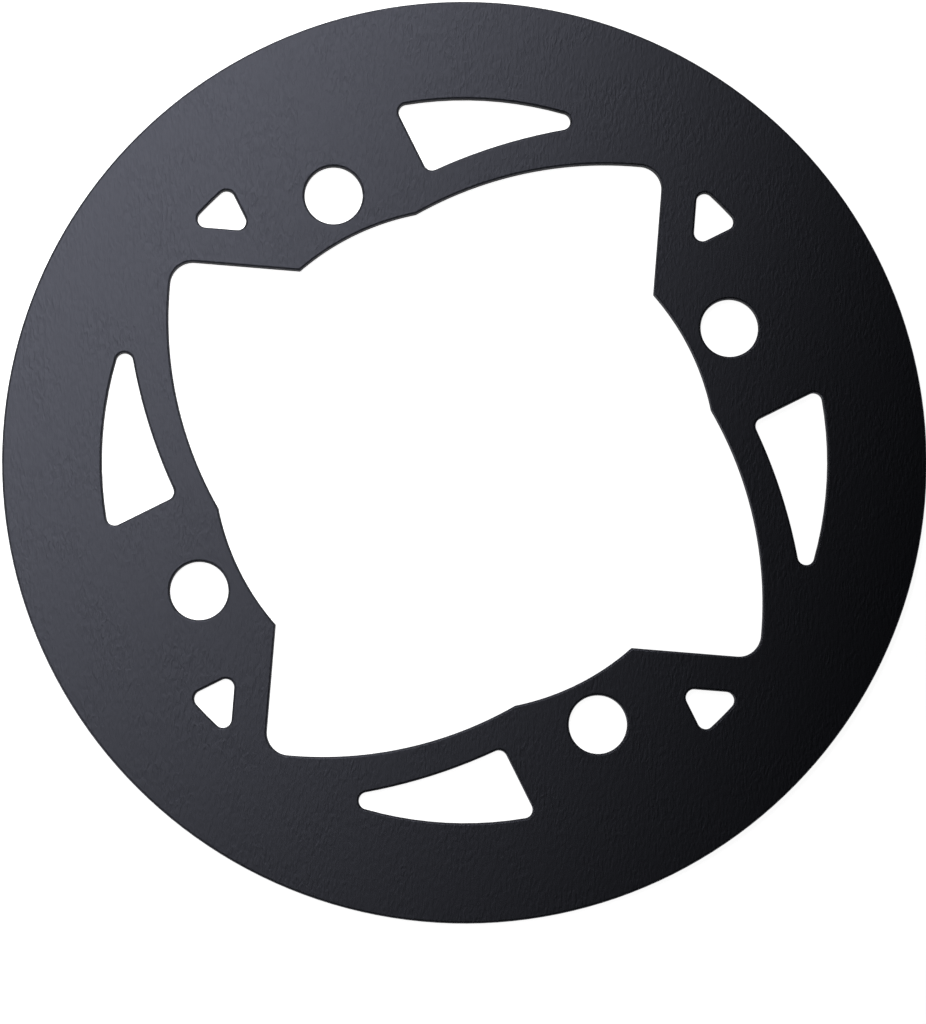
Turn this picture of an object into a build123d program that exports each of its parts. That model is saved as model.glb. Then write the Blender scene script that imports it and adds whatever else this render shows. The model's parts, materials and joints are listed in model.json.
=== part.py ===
from build123d import *
import math
import os

# Chain guard: one flat sheet ring that bolts to the outer side of a four-arm crank spider.
# Its origin is the bolt circle's centre on the back face. +Z points away from the bicycle
# and +X runs through a bolt hole. Sizes are in millimetres and angles in degrees.

# Sheet
outer_diameter = 162.3
sheet_thickness = 2.0
edge_break = 0.4  # chamfer along every outline, on both faces

# Bolt holes, one for each arm of the spider
arm_count = 4
bolt_circle_diameter = 104.0
bolt_hole_diameter = 10.2

# Central opening, given for the arm whose radial line is +X
land_inset = 7.9  # from the bolt circle in to the bolt land's inner arc
land_tip_reach = 11.25  # from the radial line to the land's tip, counter-clockwise
land_heel_reach = 11.5  # from the radial line to the land's heel, clockwise
edge_angle = 58.9  # between the radial line and the straight edge that leaves the tip
sweep_radius = 67.5  # of the long arc that runs up to the heel
sweep_offset = 15.4  # from the radial line to the long arc's centre, clockwise
opening_corner_radius = 4.0  # where the straight edge meets the next arm's long arc

# Windows on both sides of each arm
window_reach = 11.7  # from the bolt circle out to the arc that closes every window
window_corner_radius = 1.5
slot_offset = 16.7  # from the radial line to the slot's straight side, clockwise
slot_arc_radius = 93.9  # of the slot's inner side
slot_web = 5.5  # thinnest strip between the slot and the long arc
triangle_offset = 15.7  # from the radial line to the triangle's side, counter-clockwise
triangle_web = 6.3  # strip between the triangle and the straight edge

# Places that follow from the sizes
arm_pitch = 360 / arm_count
bolt_circle_radius = bolt_circle_diameter / 2
land_radius = bolt_circle_radius - land_inset
window_radius = bolt_circle_radius + window_reach
tip = Vector(math.sqrt(land_radius**2 - land_tip_reach**2), land_tip_reach)
heel = Vector(math.sqrt(land_radius**2 - land_heel_reach**2), -land_heel_reach)
edge_direction = Vector(1, 0).rotate(Axis.Z, edge_angle)
heel_to_sweep_centre = math.sqrt(sweep_radius**2 - (sweep_offset - land_heel_reach) ** 2)
sweep_centre = Vector(heel.X - heel_to_sweep_centre, -sweep_offset)


def leave_circle(start, direction, centre, radius):
    """The point where a ray that starts inside a circle leaves it."""
    to_centre = centre - start
    halfway = to_centre.dot(direction)
    half_chord = math.sqrt(radius**2 - to_centre.length**2 + halfway**2)
    return start + direction * (halfway + half_chord)


def opening():
    """The central opening: a land arc, a straight edge and a long arc for each arm."""
    next_centre = sweep_centre.rotate(Axis.Z, arm_pitch)
    next_heel = heel.rotate(Axis.Z, arm_pitch)
    corner = leave_circle(tip, edge_direction, next_centre, sweep_radius)
    land_arc = ThreePointArc(heel, (land_radius, 0), tip)
    straight_edge = Line(tip, corner)
    long_arc = RadiusArc(corner, next_heel, -sweep_radius)
    arm_outline = [land_arc, straight_edge, long_arc]
    outline = [Rot(Z=arm * arm_pitch) * edge for arm in range(arm_count) for edge in arm_outline]
    face = make_face(outline)
    outermost_corners = face.vertices().group_by(SortBy.DISTANCE)[-1]
    return fillet(outermost_corners, opening_corner_radius)


def slot():
    """The long wedge on an arm's clockwise side, which narrows away from the arm."""
    centre_step = slot_arc_radius - sweep_radius - slot_web
    inner_side = Pos(sweep_centre.X - centre_step, sweep_centre.Y) * Circle(slot_arc_radius)
    beyond_side = Rectangle(2 * window_radius, window_radius, align=(Align.CENTER, Align.MAX))
    wedge = Circle(window_radius) & Pos(0, -slot_offset) * beyond_side
    wedge -= inner_side
    return fillet(wedge.vertices(), window_corner_radius)


def triangle():
    """The small window on an arm's counter-clockwise side, beside the straight edge."""
    outward = edge_direction.rotate(Axis.Z, -90)
    beside_edge = Pos(tip + outward * triangle_web) * Rot(Z=edge_angle)
    beyond_edge = Rectangle(4 * window_radius, 2 * window_radius, align=(Align.CENTER, Align.MAX))
    beyond_side = Rectangle(2 * window_radius, window_radius, align=(Align.CENTER, Align.MIN))
    wedge = Circle(window_radius) & Pos(0, triangle_offset) * beyond_side
    wedge &= beside_edge * beyond_edge
    return fillet(wedge.vertices(), window_corner_radius)


def chain_guard():
    """The pierced sheet with the edges of every outline broken on both faces."""
    every_arm = PolarLocations(0, arm_count)
    every_bolt = PolarLocations(bolt_circle_radius, arm_count)
    profile = Circle(outer_diameter / 2) - opening()
    profile -= every_bolt * Circle(bolt_hole_diameter / 2)
    profile -= every_arm * slot()
    profile -= every_arm * triangle()
    sheet = extrude(profile, amount=sheet_thickness)
    edges_by_height = sheet.edges().group_by(Axis.Z)
    return chamfer(edges_by_height[0] + edges_by_height[-1], edge_break)


os.makedirs("parts", exist_ok=True)
export_step(chain_guard(), "parts/chain_guard.step")
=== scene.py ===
import json
import math

import bpy
from bpy.props import FloatProperty, FloatVectorProperty, IntProperty, PointerProperty
from mathutils import Matrix, Vector


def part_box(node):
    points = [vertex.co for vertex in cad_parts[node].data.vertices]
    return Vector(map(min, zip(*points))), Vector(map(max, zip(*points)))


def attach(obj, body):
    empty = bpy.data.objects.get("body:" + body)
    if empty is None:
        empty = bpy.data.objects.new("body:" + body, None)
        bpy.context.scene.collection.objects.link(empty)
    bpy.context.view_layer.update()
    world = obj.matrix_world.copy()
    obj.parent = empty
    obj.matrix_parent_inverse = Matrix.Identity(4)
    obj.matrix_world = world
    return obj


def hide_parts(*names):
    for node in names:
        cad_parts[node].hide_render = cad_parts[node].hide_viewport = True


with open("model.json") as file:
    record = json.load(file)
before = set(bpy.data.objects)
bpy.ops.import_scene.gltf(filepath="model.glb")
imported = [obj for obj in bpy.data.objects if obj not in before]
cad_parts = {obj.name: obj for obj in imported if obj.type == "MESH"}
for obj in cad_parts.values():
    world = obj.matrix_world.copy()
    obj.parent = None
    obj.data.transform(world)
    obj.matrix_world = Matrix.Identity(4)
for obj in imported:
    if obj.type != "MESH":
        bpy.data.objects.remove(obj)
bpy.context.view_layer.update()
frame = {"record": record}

bl_info = {
    "name": "Bicycle chain guard",
    "version": (1, 0, 0),
    "blender": (4, 5, 0),
    "location": "3D View > Sidebar > Chain guard",
    "description": "Cuts a grained black chain guard out of sheet and sets it on a white floor",
    "category": "Mesh",
}

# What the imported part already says
SHEET_NODE = "chain_guard"
SHEET_LOW, SHEET_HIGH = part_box(SHEET_NODE)
BOLTS = next(m["dims"] for m in frame["record"]["mounts"] if m["kind"] == "bolt_pattern")

# Units and plain values
MM = 0.001
QUARTER_TURN = math.tau / 4
WHITE = (1, 1, 1, 1)
NONE_TO_ALL = (0, 1)

# How finely the shapes are drawn
ARC_STEP = math.radians(45)  # longest arc between two knots
ARC_HANDLE = 4 / 3  # length of an arc's handles, in tangents of a quarter of its sweep
RIM_STEPS = 24  # steps from knot to knot on the rim and the central opening
WINDOW_STEPS = 10  # the same on the bolt holes and the windows
EDGE_ROUND_STEPS = 3
FLOOR_SIDES = 96
CORNER_TRIES = 20  # steps towards the centre of a rounded corner
MERGE_DISTANCE = 1e-6
FLAT_NORMAL = 0.9999  # least upright part of a flat face's normal
SKIN_NORMAL = math.cos(math.radians(58))  # least upright part of a grained face's normal

# How the grain and the cut walls vary
NOISE_DETAIL = 0  # one size of swell, with no finer ones on it
RIDGE_WANDER = 0.7  # how far the ridges stray from straight
RIDGE_NOISE = (0.3, 0.7)  # noise in the hollows and on the ridges
PATCH_NOISE = (0.35, 0.65)  # noise in the faintest and the boldest patches
PATCH_BOLDNESS = (0.5, 1)  # share of the grain's depth in those patches
MIDDLE_HEIGHT = 0.5  # half-way from the hollows to the ridges
SHADE_SWING = 0.2  # share of a colour, to each side
ROUGHNESS_SWING = 0.007  # to each side of the face's roughness
WALL_SPECULAR = 0.1
WALL_STREAK = (1, 1, 0.15)  # swells to one grain width, along X, Y and Z
WALL_ROUGHNESS = (0.5, 0.7)

# From none to all of the backdrop's white in a mirror ray, by the sine of the ray's rise
BACKDROP_RISE = (0.1, 0.02)


def length(name, description, default):
    """A length that a user may change, in metres."""
    return FloatProperty(
        name=name, description=description, default=default, min=0, unit="LENGTH", precision=5
    )


def turn(name, description, degrees):
    """An angle that a user may change, kept in radians."""
    return FloatProperty(
        name=name, description=description, default=math.radians(degrees), unit="ROTATION"
    )


def colour(name, description, default):
    """A linear colour that a user may change."""
    return FloatVectorProperty(
        name=name, description=description, default=default, min=0, max=1, size=3, subtype="COLOR"
    )


def share(name, description, default):
    """A plain number from 0 to 1 that a user may change."""
    return FloatProperty(
        name=name, description=description, default=default, min=0, max=1, precision=4
    )


def power(name, description, watts):
    """A lamp's power that a user may change."""
    return FloatProperty(name=name, description=description, default=watts, min=0, unit="POWER")


def place(name, description, millimetres):
    """A point that a user may change, in metres."""
    return FloatVectorProperty(
        name=name,
        description=description,
        default=[value * MM for value in millimetres],
        size=3,
        subtype="TRANSLATION",
        unit="LENGTH",
    )


class SheetSizes(bpy.types.PropertyGroup):
    """The outlines of the sheet, given for the arm whose radial line is +X."""

    outer_diameter: length("Outer diameter", "Across the rim", SHEET_HIGH.x - SHEET_LOW.x)
    thickness: length("Thickness", "From the back face to the front", SHEET_HIGH.z - SHEET_LOW.z)
    edge_round: length("Edge round", "Radius along every outline, on both faces", 0.4 * MM)
    arms: IntProperty(
        name="Arms", description="Arms of the crank spider", default=BOLTS["count"], min=2, max=8
    )
    bolt_circle: length("Bolt circle", "Diameter through the bolt holes", BOLTS["pcd_mm"] * MM)
    bolt_hole: length("Bolt hole", "Diameter of a bolt hole", 2 * BOLTS["hole_r_mm"] * MM)
    land_inset: length("Land inset", "From the bolt circle in to the land's arc", 7.9 * MM)
    tip_reach: length("Tip reach", "From the radial line to the land's tip", 11.25 * MM)
    heel_reach: length("Heel reach", "From the radial line to the land's heel", 11.5 * MM)
    edge_angle: turn("Edge angle", "Between the radial line and the straight edge", 58.9)
    sweep_radius: length("Sweep radius", "Of the long arc that runs up to the heel", 67.5 * MM)
    sweep_offset: length("Sweep offset", "From the radial line to the long arc's centre", 15.4 * MM)
    opening_corner: length("Opening corner", "Radius in the corners of the opening", 4.0 * MM)
    window_reach: length("Window reach", "From the bolt circle out to the windows' arc", 11.7 * MM)
    window_corner: length("Window corner", "Radius in the corners of the windows", 1.5 * MM)
    slot_offset: length("Slot offset", "From the radial line to the slot's side", 16.7 * MM)
    slot_arc_radius: length("Slot arc radius", "Of the slot's inner side", 93.9 * MM)
    slot_web: length("Slot web", "Thinnest strip between slot and long arc", 5.5 * MM)
    triangle_offset: length("Triangle offset", "From the radial line to its side", 15.7 * MM)
    triangle_web: length("Triangle web", "Strip between triangle and straight edge", 6.3 * MM)


class SheetFinish(bpy.types.PropertyGroup):
    """The moulded grain of the faces and the bare cut of the walls."""

    face_colour: colour("Face colour", "The grained faces", (0.0022, 0.0025, 0.0033))
    face_tint: colour("Face tint", "What the faces mirror takes on this tint", (0.815, 0.83, 1.0))
    wall_colour: colour("Wall colour", "The cut walls of the outlines", (0.0036, 0.0036, 0.0042))
    face_index: FloatProperty(
        name="Face index", description="Refractive index of the sheet", default=1.585, min=1, max=3
    )
    face_roughness: share("Face roughness", "Of the grained faces", 0.52)
    ridge_gloss: share("Ridge gloss", "How far the ridges are glossier than the hollows", 0.06)
    grain_width: length("Grain width", "Across one ridge of the grain", 0.48 * MM)
    grain_length: length("Grain length", "Along one ridge of the grain", 1.25 * MM)
    grain_turn: turn("Grain turn", "From +X to the way that the ridges run", 63.5)
    grain_depth: length("Grain depth", "From the ridges to the hollows", 0.022 * MM)
    patch_width: length("Patch width", "Across the patches where the grain is bolder", 6 * MM)


class StudioSettings(bpy.types.PropertyGroup):
    """The floor, the lamps and the camera."""

    floor_radius: length("Floor radius", "From the sheet to the end of the floor", 6)
    floor_colour: colour("Floor colour", "The floor under the lamps", (0.8, 0.8, 0.8))
    floor_glow: share("Floor glow", "How white the floor is without the lamps", 0.95)
    sky_level: share("Sky level", "Of the dim room above the sheet", 0.004)
    lamp_colour: colour("Lamp colour", "Of both softboxes", (0.97, 0.98, 1.0))
    key_power: power("Key power", "Of the softbox over the sheet", 0.72)
    key_width: length("Key width", "Across the softbox over the sheet", 369 * MM)
    key_spread: turn("Key spread", "Full angle of the grid before the softbox", 72.3)
    key_place: place("Key place", "Middle of the softbox over the sheet", (-66, 235, 240))
    key_aim: place("Key aim", "Where the softbox over the sheet points", (-144.5, 163, 0))
    fill_power: power("Fill power", "Of the low softbox that lights the edges", 0.7)
    fill_width: length("Fill width", "Across the low softbox", 140 * MM)
    fill_spread: turn("Fill spread", "Full angle of the low softbox, which has no grid", 180)
    fill_place: place("Fill place", "Middle of the low softbox", (-600, 30, 80))
    fill_aim: place("Fill aim", "Where the low softbox points", (0, 0, 0))
    lens: FloatProperty(
        name="Lens", description="Focal length of the camera", default=140.46, unit="CAMERA"
    )
    camera_place: place("Camera place", "Where the camera stands", (-38.0, -46.5, 700.0))
    camera_turn: FloatVectorProperty(
        name="Camera turn",
        description="From looking straight down, about X, Y and Z",
        default=[math.radians(angle) for angle in (4.032, -1.055, -26.499)],
        subtype="EULER",
    )


# Outlines in the plane of the sheet


class Straight:
    """A straight side of an outline, with the cut on its left."""

    def __init__(self, start, direction):
        self.start = start
        self.inward = Vector((-direction.y, direction.x))

    def depth(self, point):
        """How far a point lies inside the cut."""
        return (point - self.start).dot(self.inward)

    def slope(self, point):
        """The way in which the depth grows."""
        return self.inward

    def stretch(self, start, end):
        """The part of the side between two points."""
        return line(start, end)


class Round:
    """A round side of an outline, with the cut inside or outside its circle."""

    def __init__(self, centre, radius, cut_inside=True):
        self.centre = centre
        self.radius = radius
        self.sign = 1 if cut_inside else -1

    def depth(self, point):
        """How far a point lies inside the cut."""
        return self.sign * (self.radius - (point - self.centre).length)

    def slope(self, point):
        """The way in which the depth grows."""
        return self.sign * (self.centre - point).normalized()

    def stretch(self, start, end):
        """The part of the side between two points."""
        return arc(self.centre, start, end, clockwise=self.sign < 0)


def foot(side, point):
    """The point of a side that is nearest to a point."""
    return point - side.slope(point) * side.depth(point)


def corner_centre(side, other, radius, near):
    """The point that lies one radius inside both sides, found from a point near it."""
    point = near.copy()
    for _ in range(CORNER_TRIES):
        slopes = Matrix((side.slope(point), other.slope(point)))
        missing = Vector((radius - side.depth(point), radius - other.depth(point)))
        point += slopes.inverted() @ missing
    return point


def rotated(point, angle):
    """A point of the plane turned about the origin."""
    return Matrix.Rotation(angle, 2) @ point


def line(start, end):
    """A straight stretch of an outline, as start, end and no bend."""
    return [(start, end, None)]


def arc(centre, start, end, clockwise=False):
    """A round stretch of an outline, in pieces short enough for one pair of handles each."""
    way = -1 if clockwise else 1
    spoke = start - centre
    first = math.atan2(*reversed(spoke))
    last = math.atan2(*reversed(end - centre))
    sweep = (way * (last - first)) % math.tau or math.tau
    pieces = math.ceil(sweep / ARC_STEP)
    step = way * sweep / pieces
    points = [centre + rotated(spoke, step * i) for i in range(pieces + 1)]
    return [(a, b, (centre, step)) for a, b in zip(points, points[1:])]


def circle(centre, radius):
    """A whole circle as an outline."""
    start = centre + Vector((radius, 0))
    return arc(centre, start, start)


def window(sides, radius, corners):
    """An outline of sides in order, rounded where each meets the next, near the given corners."""
    following = sides[1:] + sides[:1]
    centres = [corner_centre(a, b, radius, near) for a, b, near in zip(sides, following, corners)]
    stretches = []
    for i, side in enumerate(sides):
        end = foot(side, centres[i])
        stretches += side.stretch(foot(side, centres[i - 1]), end)
        stretches += arc(centres[i], end, foot(following[i], centres[i]))
    return stretches


def turned(stretches, angle):
    """A copy of an outline turned about the sheet's centre."""
    copies = []
    for start, end, bend in stretches:
        bend = bend and (rotated(bend[0], angle), bend[1])
        copies.append((rotated(start, angle), rotated(end, angle), bend))
    return copies


class SheetPlan:
    """The points and circles that every outline of the sheet shares."""

    def __init__(self, sizes):
        self.sizes = sizes
        self.pitch = math.tau / sizes.arms
        self.bolt_radius = sizes.bolt_circle / 2
        self.land_radius = self.bolt_radius - sizes.land_inset
        self.window_radius = self.bolt_radius + sizes.window_reach
        self.origin = Vector((0, 0))
        self.tip = self.on_land(sizes.tip_reach)
        self.heel = self.on_land(-sizes.heel_reach)
        self.along_edge = rotated(Vector((1, 0)), sizes.edge_angle)
        rise = sizes.sweep_offset - sizes.heel_reach
        run = math.sqrt(sizes.sweep_radius**2 - rise**2)
        self.sweep_centre = Vector((self.heel.x - run, -sizes.sweep_offset))

    def on_land(self, reach):
        """The point of the land's arc at a distance from the radial line."""
        return Vector((math.sqrt(self.land_radius**2 - reach**2), reach))

    def opening(self):
        """The pinwheel in the middle: a land arc, a straight edge and a long arc for each arm."""
        sizes = self.sizes
        next_heel = rotated(self.heel, self.pitch)
        edge = Straight(self.tip, self.along_edge)
        sweep = Round(rotated(self.sweep_centre, self.pitch), sizes.sweep_radius)
        near = self.tip + self.along_edge * sizes.window_reach
        corner = corner_centre(edge, sweep, sizes.opening_corner, near)
        edge_end = foot(edge, corner)
        sweep_start = foot(sweep, corner)
        arm = arc(self.origin, self.heel, self.tip)
        arm += edge.stretch(self.tip, edge_end)
        arm += arc(corner, edge_end, sweep_start)
        arm += sweep.stretch(sweep_start, next_heel)
        return [stretch for i in range(sizes.arms) for stretch in turned(arm, i * self.pitch)]

    def slot(self):
        """The long wedge on the clockwise side of an arm."""
        sizes = self.sizes
        step = Vector((sizes.slot_arc_radius - sizes.sweep_radius - sizes.slot_web, 0))
        inner = Round(self.sweep_centre - step, sizes.slot_arc_radius, cut_inside=False)
        outer = Round(self.origin, self.window_radius)
        broad_end = Straight(Vector((0, -sizes.slot_offset)), Vector((-1, 0)))
        across_inner = Vector((self.bolt_radius, -sizes.slot_offset))
        thin_end = rotated(Vector((self.window_radius, 0)), -sizes.edge_angle)
        across_outer = Vector((self.window_radius, -sizes.slot_offset))
        corners = [across_inner, thin_end, across_outer]
        return window([broad_end, inner, outer], sizes.window_corner, corners)

    def triangle(self):
        """The small window on the counter-clockwise side of an arm."""
        sizes = self.sizes
        near_corner = self.tip + rotated(self.along_edge, -QUARTER_TURN) * sizes.triangle_web
        side = Straight(Vector((0, sizes.triangle_offset)), Vector((1, 0)))
        outer = Round(self.origin, self.window_radius)
        beside_edge = Straight(near_corner, -self.along_edge)
        across_outer = Vector((self.window_radius, sizes.triangle_offset))
        far_corner = across_outer + self.along_edge * sizes.triangle_web
        corners = [across_outer, far_corner, near_corner]
        return window([side, outer, beside_edge], sizes.window_corner, corners)

    def outlines(self):
        """Every outline with the number of steps that each of its pieces is drawn in."""
        sizes = self.sizes
        yield circle(self.origin, sizes.outer_diameter / 2), RIM_STEPS
        yield self.opening(), RIM_STEPS
        bolt = Vector((self.bolt_radius, 0))
        for i in range(sizes.arms):
            angle = i * self.pitch
            yield circle(rotated(bolt, angle), sizes.bolt_hole / 2), WINDOW_STEPS
            yield turned(self.slot(), angle), WINDOW_STEPS
            yield turned(self.triangle(), angle), WINDOW_STEPS


def draw_outline(curve, stretches, steps):
    """Adds a closed outline to a flat curve, with handles that follow its arcs."""
    spline = curve.splines.new("BEZIER")
    spline.bezier_points.add(len(stretches) - 1)
    spline.use_cyclic_u = True
    spline.resolution_u = steps
    knots = spline.bezier_points
    for i, (start, end, bend) in enumerate(stretches):
        knot = knots[i]
        following = knots[(i + 1) % len(knots)]
        knot.co = start.to_3d()
        if bend is None:
            knot.handle_right_type = "VECTOR"
            following.handle_left_type = "VECTOR"
            continue
        centre, sweep = bend
        reach = ARC_HANDLE * math.tan(sweep / 4)
        knot.handle_right_type = "FREE"
        following.handle_left_type = "FREE"
        knot.handle_right = (start + reach * rotated(start - centre, QUARTER_TURN)).to_3d()
        following.handle_left = (end - reach * rotated(end - centre, QUARTER_TURN)).to_3d()


def sheet_curve(sizes):
    """A flat curve of every outline, filled between them, as thick as the sheet."""
    curve = bpy.data.curves.new("guard_sheet", "CURVE")
    curve.dimensions = "2D"
    curve.fill_mode = "BOTH"
    curve.extrude = sizes.thickness / 2 - sizes.edge_round
    curve.bevel_depth = sizes.edge_round
    curve.bevel_resolution = EDGE_ROUND_STEPS
    curve.offset = -sizes.edge_round
    for stretches, steps in SheetPlan(sizes).outlines():
        draw_outline(curve, stretches, steps)
    return curve


# Modelling helpers


def only(piece):
    """Selects one object and makes it active."""
    bpy.ops.object.select_all(action="DESELECT")
    piece.select_set(True)
    bpy.context.view_layer.objects.active = piece


def clean_mesh():
    """Closes the seams of the active mesh and turns its faces outwards."""
    bpy.ops.object.mode_set(mode="EDIT")
    bpy.ops.mesh.select_mode(type="FACE")
    bpy.ops.mesh.select_all(action="SELECT")
    bpy.ops.mesh.remove_doubles(threshold=MERGE_DISTANCE)
    bpy.ops.mesh.normals_make_consistent(inside=False)
    bpy.ops.mesh.select_all(action="DESELECT")
    bpy.ops.object.mode_set(mode="OBJECT")


def edit_faces(mesh, wanted, *steps):
    """Selects the faces of the active mesh that a test accepts, and takes the steps on them."""
    mesh.vertices.foreach_set("select", [False] * len(mesh.vertices))
    mesh.edges.foreach_set("select", [False] * len(mesh.edges))
    mesh.polygons.foreach_set("select", [wanted(face) for face in mesh.polygons])
    bpy.ops.object.mode_set(mode="EDIT")
    for step in steps:
        step()
    bpy.ops.object.mode_set(mode="OBJECT")


def is_flat(face):
    """Whether a face is part of the front or the back."""
    return abs(face.normal.z) > FLAT_NORMAL


def is_wall(face):
    """Whether a face is so steep that it is part of a cut wall."""
    return abs(face.normal.z) < SKIN_NORMAL


# Materials


def shader(material):
    """A material's Principled BSDF."""
    material.use_nodes = True
    return material.node_tree.nodes["Principled BSDF"]


def new_node(tree, kind, **settings):
    """Adds a node and sets its properties."""
    node = tree.nodes.new(kind)
    for name, value in settings.items():
        setattr(node, name, value)
    return node


def computed(tree, operation, *values):
    """The result of a Math node for sockets and plain numbers."""
    node = new_node(tree, "ShaderNodeMath", operation=operation)
    for value, socket in zip(values, node.inputs):
        if isinstance(value, bpy.types.NodeSocket):
            tree.links.new(value, socket)
        else:
            socket.default_value = value
    return node.outputs[0]


def greatest(tree, first, *others):
    """The greatest of several values."""
    for other in others:
        first = computed(tree, "MAXIMUM", first, other)
    return first


def mapped(tree, value, given, wanted, interpolation="LINEAR"):
    """A value moved from one range to another, and held inside it."""
    node = new_node(tree, "ShaderNodeMapRange", interpolation_type=interpolation)
    node.inputs["From Min"].default_value, node.inputs["From Max"].default_value = given
    node.inputs["To Min"].default_value, node.inputs["To Max"].default_value = wanted
    tree.links.new(value, node.inputs["Value"])
    return node.outputs["Result"]


def shades(tree, value, tint):
    """A colour from a little darker to a little lighter than its tint."""
    node = new_node(tree, "ShaderNodeMix", data_type="RGBA")
    for name, level in (("A", 1 - SHADE_SWING), ("B", 1 + SHADE_SWING)):
        node.inputs[name].default_value = (*[level * part for part in tint], 1)
    tree.links.new(value, node.inputs["Factor"])
    return node.outputs["Result"]


def swells(tree, vector, wander=0):
    """Smooth noise with one swell to a unit, which may wander off its grid."""
    noise = new_node(tree, "ShaderNodeTexNoise")
    noise.inputs["Scale"].default_value = 1
    noise.inputs["Detail"].default_value = NOISE_DETAIL
    noise.inputs["Distortion"].default_value = wander
    tree.links.new(vector, noise.inputs["Vector"])
    return noise.outputs["Fac"]


def grain_group():
    """A node group that draws a moulded grain of short ridges along its Y axis."""
    group = bpy.data.node_groups.new("Moulded grain", "ShaderNodeTree")
    sockets = group.interface
    sockets.new_socket("Vector", in_out="INPUT", socket_type="NodeSocketVector")
    for name in ("Ridge width", "Ridge length", "Patch width"):
        sockets.new_socket(name, in_out="INPUT", socket_type="NodeSocketFloat")
    sockets.new_socket("Height", in_out="OUTPUT", socket_type="NodeSocketFloat")
    link = group.links.new
    given = new_node(group, "NodeGroupInput").outputs
    result = new_node(group, "NodeGroupOutput").inputs

    # One ridge fills one unit of these coordinates
    across = computed(group, "DIVIDE", 1, given["Ridge width"])
    along = computed(group, "DIVIDE", 1, given["Ridge length"])
    per_ridge = new_node(group, "ShaderNodeCombineXYZ")
    for axis, count in (("X", across), ("Y", along), ("Z", across)):
        link(count, per_ridge.inputs[axis])
    by_ridge = new_node(group, "ShaderNodeVectorMath", operation="MULTIPLY")
    link(given["Vector"], by_ridge.inputs[0])
    link(per_ridge.outputs[0], by_ridge.inputs[1])
    ridges = swells(group, by_ridge.outputs[0], RIDGE_WANDER)
    ridges = mapped(group, ridges, RIDGE_NOISE, (-MIDDLE_HEIGHT, MIDDLE_HEIGHT))

    # The grain is bolder in some patches than in others
    by_patch = new_node(group, "ShaderNodeVectorMath", operation="SCALE")
    link(given["Vector"], by_patch.inputs[0])
    link(computed(group, "DIVIDE", 1, given["Patch width"]), by_patch.inputs["Scale"])
    boldness = mapped(group, swells(group, by_patch.outputs[0]), PATCH_NOISE, PATCH_BOLDNESS)
    link(computed(group, "MULTIPLY_ADD", ridges, boldness, MIDDLE_HEIGHT), result["Height"])
    return group


def face_material(finish):
    """Black sheet with a fine moulded grain, a little glossier on the ridges."""
    material = bpy.data.materials.new("Grained black face")
    bsdf = shader(material)
    tree = material.node_tree
    link = tree.links.new
    bsdf.inputs["IOR"].default_value = finish.face_index
    bsdf.inputs["Specular Tint"].default_value = (*finish.face_tint, 1)
    bsdf.inputs["Coat Roughness"].default_value = finish.face_roughness

    # The ridges run the way that the grain is turned
    coordinates = new_node(tree, "ShaderNodeTexCoord")
    lie = new_node(tree, "ShaderNodeMapping", vector_type="TEXTURE")
    lie.inputs["Rotation"].default_value = (0, 0, finish.grain_turn - QUARTER_TURN)
    grain = new_node(tree, "ShaderNodeGroup", node_tree=grain_group())
    grain.inputs["Ridge width"].default_value = finish.grain_width
    grain.inputs["Ridge length"].default_value = finish.grain_length
    grain.inputs["Patch width"].default_value = finish.patch_width
    link(coordinates.outputs["Object"], lie.inputs["Vector"])
    link(lie.outputs["Vector"], grain.inputs["Vector"])
    height = grain.outputs["Height"]

    # Ridges are lighter, smoother and glossier than hollows
    dull = finish.face_roughness + ROUGHNESS_SWING
    satin = finish.face_roughness - ROUGHNESS_SWING
    link(shades(tree, height, finish.face_colour), bsdf.inputs["Base Color"])
    link(mapped(tree, height, NONE_TO_ALL, (dull, satin)), bsdf.inputs["Roughness"])
    link(mapped(tree, height, NONE_TO_ALL, (0, finish.ridge_gloss)), bsdf.inputs["Coat Weight"])
    relief = new_node(tree, "ShaderNodeBump")
    relief.inputs["Distance"].default_value = finish.grain_depth
    link(height, relief.inputs["Height"])
    link(relief.outputs["Normal"], bsdf.inputs["Normal"])
    return material


def wall_material(finish):
    """The dull black of a cut wall, with faint streaks through the thickness."""
    material = bpy.data.materials.new("Cut black wall")
    bsdf = shader(material)
    tree = material.node_tree
    link = tree.links.new
    bsdf.inputs["Specular IOR Level"].default_value = WALL_SPECULAR
    coordinates = new_node(tree, "ShaderNodeTexCoord")
    upright = new_node(tree, "ShaderNodeMapping")
    upright.inputs["Scale"].default_value = [part / finish.grain_width for part in WALL_STREAK]
    link(coordinates.outputs["Object"], upright.inputs["Vector"])
    streaks = swells(tree, upright.outputs["Vector"])
    link(shades(tree, streaks, finish.wall_colour), bsdf.inputs["Base Color"])
    link(mapped(tree, streaks, NONE_TO_ALL, WALL_ROUGHNESS), bsdf.inputs["Roughness"])
    return material


def floor_material(studio):
    """A white floor that the lamps and the sheet's shadow still shade."""
    material = bpy.data.materials.new("Studio floor")
    bsdf = shader(material)
    tree = material.node_tree
    bsdf.inputs["Base Color"].default_value = (*studio.floor_colour, 1)
    bsdf.inputs["Roughness"].default_value = 1
    bsdf.inputs["Specular IOR Level"].default_value = 0
    bsdf.inputs["Emission Color"].default_value = WHITE
    rays = new_node(tree, "ShaderNodeLightPath").outputs
    seen = greatest(tree, rays["Is Camera Ray"], rays["Is Glossy Ray"], rays["Is Transmission Ray"])
    glow = computed(tree, "MULTIPLY", seen, studio.floor_glow)
    tree.links.new(glow, bsdf.inputs["Emission Strength"])
    return material


# The studio


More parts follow.
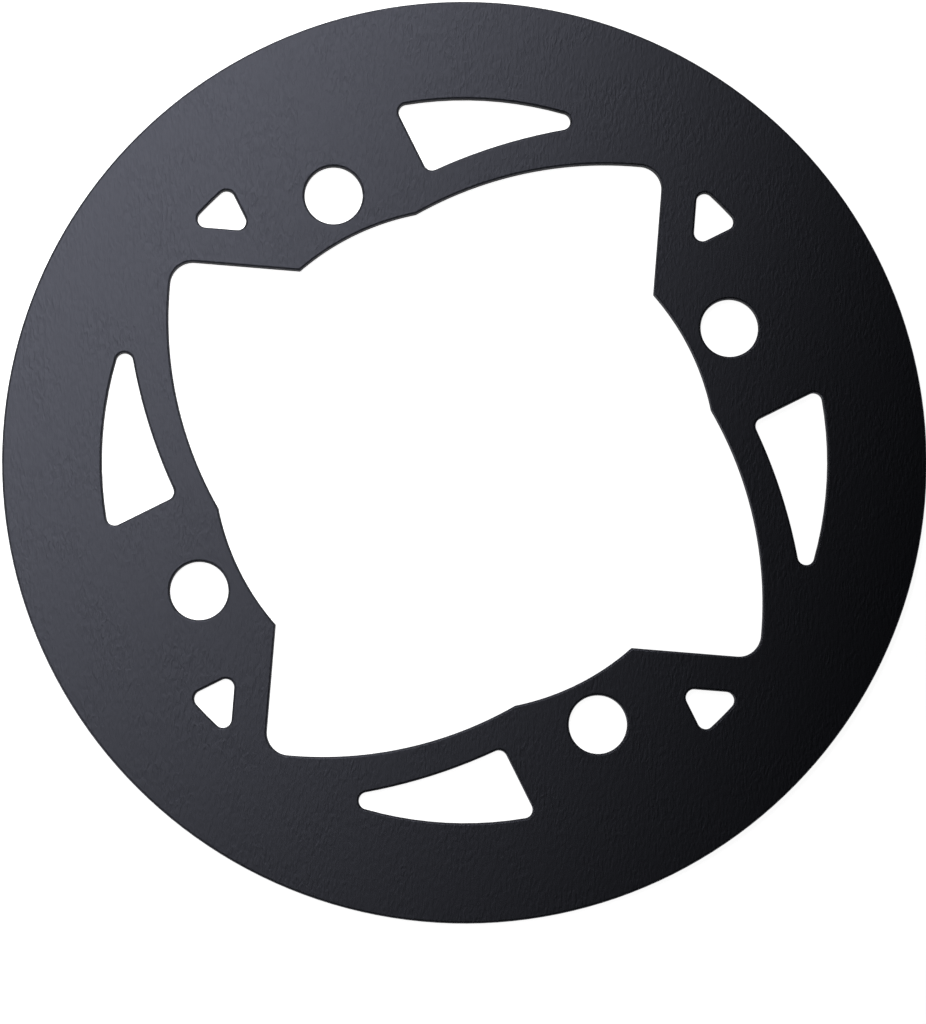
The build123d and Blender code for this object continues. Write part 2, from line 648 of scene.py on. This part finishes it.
def studio_world(studio):
    """A dim room with a white backdrop, which a glossy surface sees just above the floor."""
    world = bpy.data.worlds.new("Studio")
    world.use_nodes = True
    tree = world.node_tree
    link = tree.links.new
    dim = tree.nodes["Background"]
    dim.inputs["Color"].default_value = WHITE
    dim.inputs["Strength"].default_value = studio.sky_level
    white = new_node(tree, "ShaderNodeBackground")
    white.inputs["Color"].default_value = WHITE
    white.inputs["Strength"].default_value = 1

    ray_way = new_node(tree, "ShaderNodeSeparateXYZ")
    link(new_node(tree, "ShaderNodeTexCoord").outputs["Generated"], ray_way.inputs[0])
    low = mapped(tree, ray_way.outputs["Z"], BACKDROP_RISE, NONE_TO_ALL, "SMOOTHSTEP")
    rays = new_node(tree, "ShaderNodeLightPath").outputs
    mirrored = computed(tree, "MULTIPLY", rays["Is Glossy Ray"], low)
    seen = greatest(tree, rays["Is Camera Ray"], rays["Is Transmission Ray"], mirrored)
    either = new_node(tree, "ShaderNodeMixShader")
    link(seen, either.inputs[0])
    link(dim.outputs[0], either.inputs[1])
    link(white.outputs[0], either.inputs[2])
    link(either.outputs[0], tree.nodes["World Output"].inputs["Surface"])
    return world


def softbox(name, tint, watts, width, spread, spot, aim):
    """A square area lamp at a spot that points at another, with a grid that narrows its spread."""
    lamp = bpy.data.lights.new(name, "AREA")
    lamp.shape = "SQUARE"
    lamp.size = width
    lamp.spread = spread
    lamp.energy = watts
    lamp.color = tint
    box = bpy.data.objects.new(name, lamp)
    box.location = spot
    box.rotation_euler = (Vector(aim) - Vector(spot)).to_track_quat("-Z", "Y").to_euler()
    box.visible_camera = False
    bpy.context.collection.objects.link(box)


def photo_camera(studio):
    """The camera that stands where the photo was taken from."""
    camera = bpy.data.cameras.new("photo_camera")
    camera.lens = studio.lens
    camera.clip_end = 2 * studio.floor_radius  # sees past the end of the floor
    eye = bpy.data.objects.new("photo_camera", camera)
    eye.location = studio.camera_place
    eye.rotation_euler = studio.camera_turn
    bpy.context.collection.objects.link(eye)
    return eye


class CHAINGUARD_OT_cut_sheet(bpy.types.Operator):
    """Cut the pierced sheet, round its edges and give it its grain"""

    bl_idname = "chain_guard.cut_sheet"
    bl_label = "Cut the sheet"
    bl_options = {"REGISTER", "UNDO"}

    def execute(self, context):
        sizes = context.scene.chain_guard_sizes
        finish = context.scene.chain_guard_finish
        sheet = bpy.data.objects.new("guard_sheet", sheet_curve(sizes))
        context.collection.objects.link(sheet)
        only(sheet)
        bpy.ops.object.convert(target="MESH")
        sheet = context.object
        sheet.name = "guard_sheet"
        sheet.location.z = sizes.thickness / 2
        bpy.ops.object.transform_apply(location=True, rotation=True, scale=True)
        clean_mesh()

        # The faces stay flat up to their outlines, and the rounds are smooth
        bpy.ops.object.shade_smooth()
        edit_faces(sheet.data, is_flat, bpy.ops.mesh.region_to_loop, bpy.ops.mesh.mark_sharp)

        # The grain runs over the rounds, and the walls are bare
        wall = wall_material(finish)
        sheet.data.materials.clear()
        sheet.data.materials.append(face_material(finish))
        sheet.data.materials.append(wall)
        sheet.active_material_index = sheet.data.materials.find(wall.name)
        edit_faces(sheet.data, is_wall, bpy.ops.object.material_slot_assign)

        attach(sheet, "root")
        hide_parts(SHEET_NODE)
        return {"FINISHED"}


class CHAINGUARD_OT_set_stage(bpy.types.Operator):
    """Set the floor, the lamps, the white background and the camera"""

    bl_idname = "chain_guard.set_stage"
    bl_label = "Set the stage"
    bl_options = {"REGISTER", "UNDO"}

    def execute(self, context):
        studio = context.scene.chain_guard_studio
        bpy.ops.object.select_all(action="DESELECT")
        bpy.ops.mesh.primitive_circle_add(
            vertices=FLOOR_SIDES, radius=studio.floor_radius, fill_type="NGON"
        )
        floor = context.object
        floor.name = "studio_floor"
        floor.data.materials.append(floor_material(studio))
        softbox(
            "key_softbox",
            studio.lamp_colour,
            studio.key_power,
            studio.key_width,
            studio.key_spread,
            studio.key_place,
            studio.key_aim,
        )
        softbox(
            "fill_softbox",
            studio.lamp_colour,
            studio.fill_power,
            studio.fill_width,
            studio.fill_spread,
            studio.fill_place,
            studio.fill_aim,
        )
        context.scene.world = studio_world(studio)
        context.scene.camera = photo_camera(studio)
        context.scene.view_settings.view_transform = "Standard"
        return {"FINISHED"}


class CHAINGUARD_PT_panel(bpy.types.Panel):
    """The chain guard's settings and the steps that make it"""

    bl_label = "Chain guard"
    bl_idname = "CHAINGUARD_PT_panel"
    bl_space_type = "VIEW_3D"
    bl_region_type = "UI"
    bl_category = "Chain guard"

    def draw(self, context):
        for name, group in GROUPS.items():
            box = self.layout.box()
            for setting in group.__annotations__:
                box.prop(getattr(context.scene, name), setting)
        for operator in OPERATORS:
            self.layout.operator(operator.bl_idname)


OPERATORS = (CHAINGUARD_OT_cut_sheet, CHAINGUARD_OT_set_stage)
GROUPS = {
    "chain_guard_sizes": SheetSizes,
    "chain_guard_finish": SheetFinish,
    "chain_guard_studio": StudioSettings,
}
CLASSES = (*GROUPS.values(), *OPERATORS, CHAINGUARD_PT_panel)


def register():
    """Adds the classes, and their settings to every scene."""
    for cls in CLASSES:
        bpy.utils.register_class(cls)
    for name, group in GROUPS.items():
        setattr(bpy.types.Scene, name, PointerProperty(type=group))


def unregister():
    """Takes the settings and the classes away again."""
    for name in GROUPS:
        delattr(bpy.types.Scene, name)
    for cls in reversed(CLASSES):
        bpy.utils.unregister_class(cls)


def main():
    """Makes the chain guard and its stage."""
    register()
    bpy.ops.chain_guard.cut_sheet()
    bpy.ops.chain_guard.set_stage()


if __name__ == "__main__":
    main()
